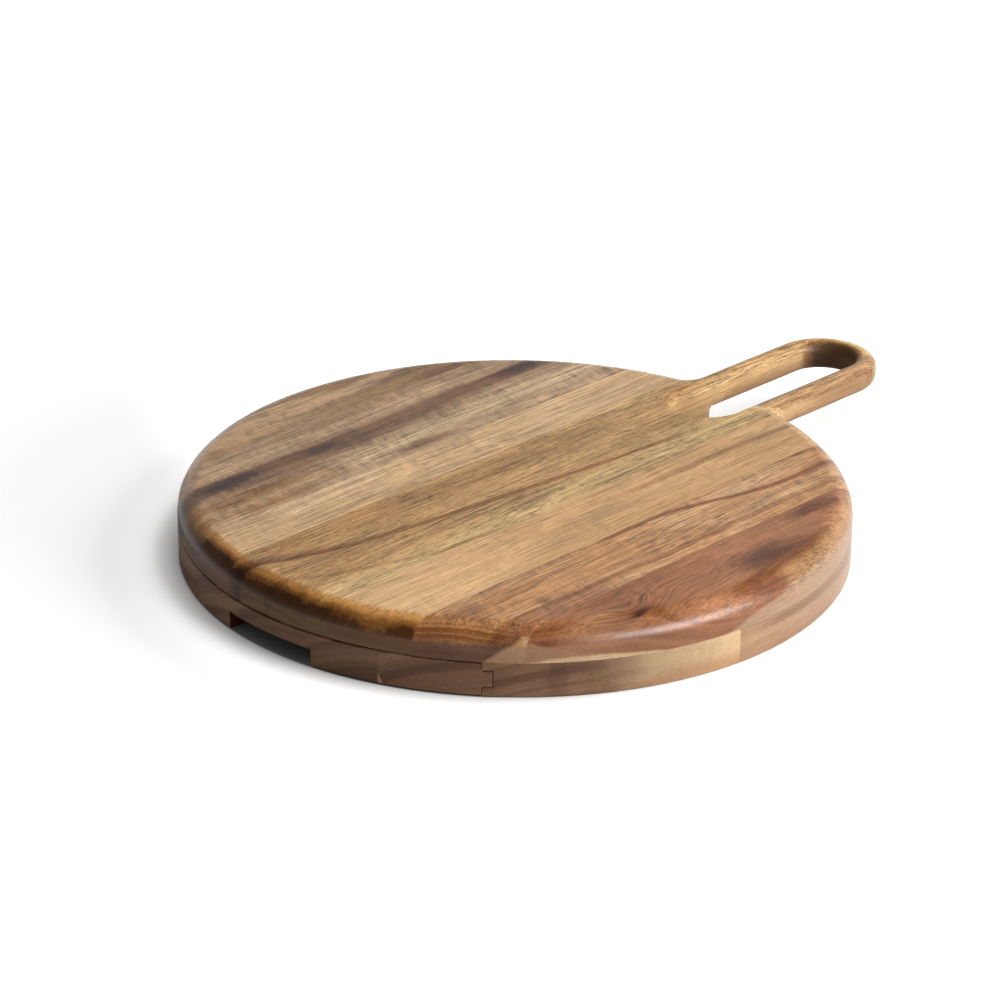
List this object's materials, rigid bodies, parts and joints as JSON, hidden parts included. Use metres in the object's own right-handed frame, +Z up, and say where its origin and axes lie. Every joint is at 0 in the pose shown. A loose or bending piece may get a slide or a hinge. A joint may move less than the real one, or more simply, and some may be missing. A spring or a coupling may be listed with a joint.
{
  "type": "cheese board",
  "caption": "Round wooden cheese board with a loop handle and a drawer that slides out of its base, with fitted pockets for cheese tools.",
  "frame": {"origin": "under the middle of the overall length, on the surface the board stands on", "axes": "+X from the drawer's front towards the handle's tip, +Z up through the serving face, +Y to the left"},
  "size_m": [0.3978, 0.305, 0.032],
  "materials": {
    "acacia_brown": "satin oiled",
    "acacia_streaked": "satin oiled",
    "acacia_light": "satin oiled",
    "acacia_golden": "satin oiled",
    "acacia_red": "satin oiled",
    "acacia_base": "satin oiled",
    "acacia_dark": "satin oiled",
    "acacia_drawer": "satin oiled",
    "acacia_grip": "satin oiled",
    "blade_steel": "satin",
    "magnet_nickel": "plated"
  },
  "bodies": {
    "board": {"top_stave_1": "acacia_brown", "top_stave_2": "acacia_streaked", "top_stave_3": "acacia_light", "handle_stave": "acacia_golden", "top_stave_5": "acacia_light", "top_stave_6": "acacia_brown", "top_stave_7": "acacia_red", "left_outer_rail": "acacia_base", "left_grooved_rail": "acacia_dark", "right_grooved_rail": "acacia_dark", "right_outer_rail_front": "acacia_base", "right_outer_rail_rear": "acacia_base", "rear_stave_1": "acacia_base", "rear_stave_2": "acacia_base", "rear_stave_3": "acacia_base", "rear_stave_4": "acacia_base", "rear_stave_5": "acacia_base", "base_magnet_left": "magnet_nickel", "base_magnet_right": "magnet_nickel"},
    "drawer": {"drawer_stave_1": "acacia_drawer", "drawer_stave_2": "acacia_drawer", "drawer_stave_3": "acacia_drawer", "drawer_stave_4": "acacia_drawer", "drawer_stave_5": "acacia_drawer", "drawer_magnet_left": "magnet_nickel", "drawer_magnet_right": "magnet_nickel", "pronged_knife_grip": "acacia_grip", "pronged_knife_blade": "blade_steel", "chisel_knife_grip": "acacia_grip", "chisel_knife_blade": "blade_steel", "spade_knife_grip": "acacia_grip", "spade_knife_blade": "blade_steel", "cheese_fork_grip": "acacia_grip", "cheese_fork_blade": "blade_steel"}
  },
  "joints": [
    {"name": "drawer_slide", "type": "slide", "parent": "board", "child": "drawer", "axis": [-1, 0, 0], "range_m": [0, 0.13]}
  ]
}
